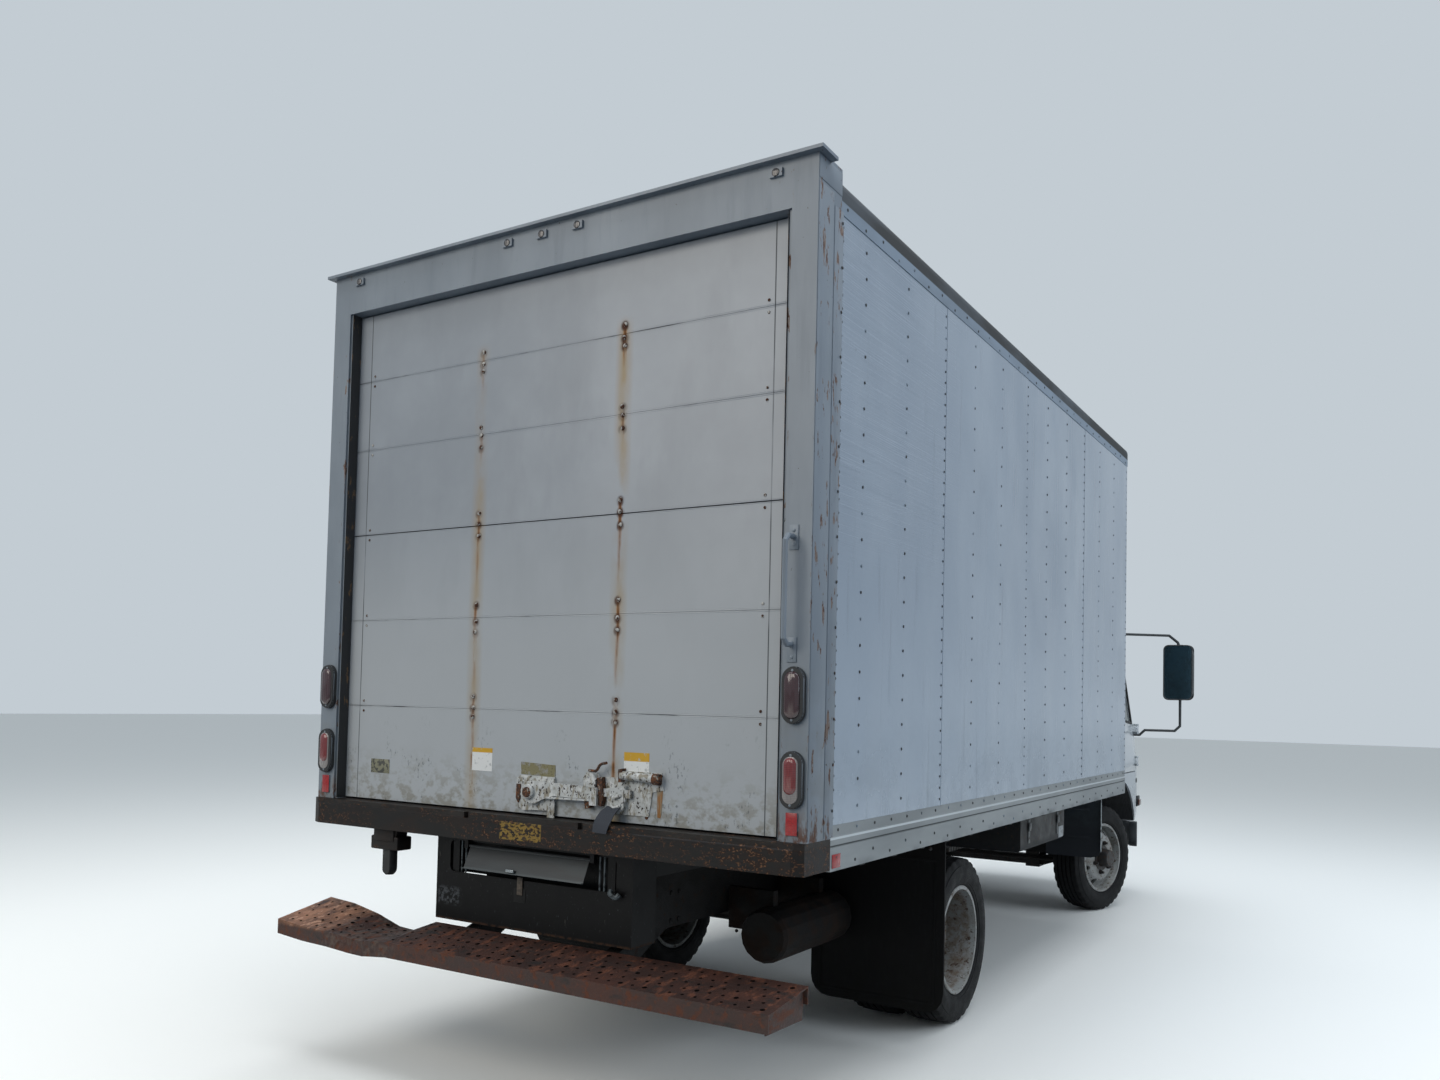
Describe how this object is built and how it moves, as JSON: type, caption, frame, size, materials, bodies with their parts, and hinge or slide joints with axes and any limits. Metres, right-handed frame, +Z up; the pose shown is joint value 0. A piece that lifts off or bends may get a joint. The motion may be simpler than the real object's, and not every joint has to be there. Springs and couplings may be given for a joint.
{
  "type": "box truck",
  "caption": "Cab-over box truck with a riveted van body, roll-up rear door, twin rear wheels, rusty step bumper and tilting cab.",
  "frame": {"origin": "on the ground under the middle of the truck", "axes": "+X forward, +Y to the truck's left, +Z up"},
  "size_m": [6.99, 2.86, 3.41],
  "materials": {
    "white_enamel": "satin",
    "cab_enamel": "gloss",
    "sheet": "white baked paint",
    "extrusion": "mill",
    "roof_edge": "weathered",
    "rusty_steel": "rusted",
    "rust": "rusted",
    "chassis_black": "matt",
    "casting": "oily",
    "grey_steel": "matt",
    "wheel_paint": "satin",
    "tyre": "matt",
    "flap_rubber": "matt",
    "glass": "polished",
    "vinyl": "satin",
    "plastic": "satin",
    "hardwood": "worn"
  },
  "bodies": {
    "chassis": {"chassis_frame": "chassis_black", "load_floor": "hardwood", "roof": "roof_edge", "front_wall": "sheet", "rear_frame": "white_enamel", "rear_sill": "rusty_steel", "roll_door": "white_enamel", "door_latch": "white_enamel", "side_wall_left": "sheet", "side_wall_right": "sheet", "bottom_rail_left": "extrusion", "bottom_rail_right": "extrusion", "mudflap_left": "flap_rubber", "mudflap_right": "flap_rubber", "rear_axle": "casting", "front_axle": "casting", "engine": "casting", "drive_shaft": "casting", "fuel_tank": "chassis_black", "battery_box": "chassis_black", "muffler": "chassis_black", "step_bumper": "rust", "ramp_housing": "chassis_black", "front_bumper": "white_enamel"},
    "cab": {"cab_floor": "cab_enamel", "cab_back": "cab_enamel", "cab_roof": "cab_enamel", "cab_front": "cab_enamel", "windscreen": "glass", "back_glass": "glass", "grille": "plastic", "bench_seat": "vinyl", "dashboard": "vinyl", "steering_wheel": "plastic", "mirror_left": "plastic", "mirror_right": "plastic", "headlamp_left": "glass", "headlamp_right": "glass"},
    "tie_rod": {"tie_rod": "casting"},
    "ramp_flap": {"ramp_flap": "grey_steel"},
    "door_left": {"door_left": "cab_enamel", "door_glass_left": "glass"},
    "knuckle_left": {"knuckle_left": "casting"},
    "front_wheel_left": {"front_wheel_left": "wheel_paint", "front_tyre_left": "tyre"},
    "rear_wheels_left": {"rear_wheels_left": "wheel_paint", "rear_outer_tyre_left": "tyre", "rear_inner_tyre_left": "tyre"},
    "door_right": {"door_right": "cab_enamel", "door_glass_right": "glass"},
    "knuckle_right": {"knuckle_right": "casting"},
    "front_wheel_right": {"front_wheel_right": "wheel_paint", "front_tyre_right": "tyre"},
    "rear_wheels_right": {"rear_wheels_right": "wheel_paint", "rear_outer_tyre_right": "tyre", "rear_inner_tyre_right": "tyre"}
  },
  "joints": [
    {"name": "rear_left_spin", "type": "hinge", "parent": "chassis", "child": "rear_wheels_left", "pos_m": [-1.31, 0.824, 0.39658], "axis": [0, 1, 0], "continuous": true},
    {"name": "front_left_steer", "type": "hinge", "parent": "chassis", "child": "knuckle_left", "pos_m": [2.365, 0.69, 0.39658], "axis": [0, 0, 1], "range_deg": [-18, 52]},
    {"name": "front_left_spin", "type": "hinge", "parent": "knuckle_left", "child": "front_wheel_left", "pos_m": [2.40593, 0.82388, 0.39658], "axis": [0.2924, 0.9563, 0], "continuous": true},
    {"name": "rear_right_spin", "type": "hinge", "parent": "chassis", "child": "rear_wheels_right", "pos_m": [-1.31, -0.824, 0.39658], "axis": [0, 1, 0], "continuous": true},
    {"name": "front_right_steer", "type": "hinge", "parent": "chassis", "child": "knuckle_right", "pos_m": [2.365, -0.69, 0.39658], "axis": [0, 0, 1], "range_deg": [-18, 52]},
    {"name": "front_right_spin", "type": "hinge", "parent": "knuckle_right", "child": "front_wheel_right", "pos_m": [2.32407, -0.82388, 0.39658], "axis": [0.2924, 0.9563, 0], "continuous": true},
    {"name": "tie_rod_hinge", "type": "hinge", "parent": "knuckle_left", "child": "tie_rod", "pos_m": [2.20243, 0.7397, 0.359], "axis": [0, 0, 1], "range_deg": [-52, 18]},
    {"name": "cab_tilt", "type": "hinge", "parent": "chassis", "child": "cab", "pos_m": [3.25, 0, 0.8], "axis": [0, 1, 0], "range_deg": [0, 45]},
    {"name": "door_left_hinge", "type": "hinge", "parent": "cab", "child": "door_left", "pos_m": [2.905, 1.04, 1.2], "axis": [0, 0, -1], "range_deg": [0, 70]},
    {"name": "door_right_hinge", "type": "hinge", "parent": "cab", "child": "door_right", "pos_m": [2.905, -1.04, 1.2], "axis": [0, 0, 1], "range_deg": [0, 70]},
    {"name": "ramp_flap_hinge", "type": "hinge", "parent": "chassis", "child": "ramp_flap", "pos_m": [-3.223, 0.045, 0.915], "axis": [0, 1, 0], "range_deg": [0, 50]}
  ],
  "couplings": [
    {"joint": "front_right_steer", "follows": "front_left_steer", "ratio": 1},
    {"joint": "tie_rod_hinge", "follows": "front_left_steer", "ratio": -1}
  ]
}
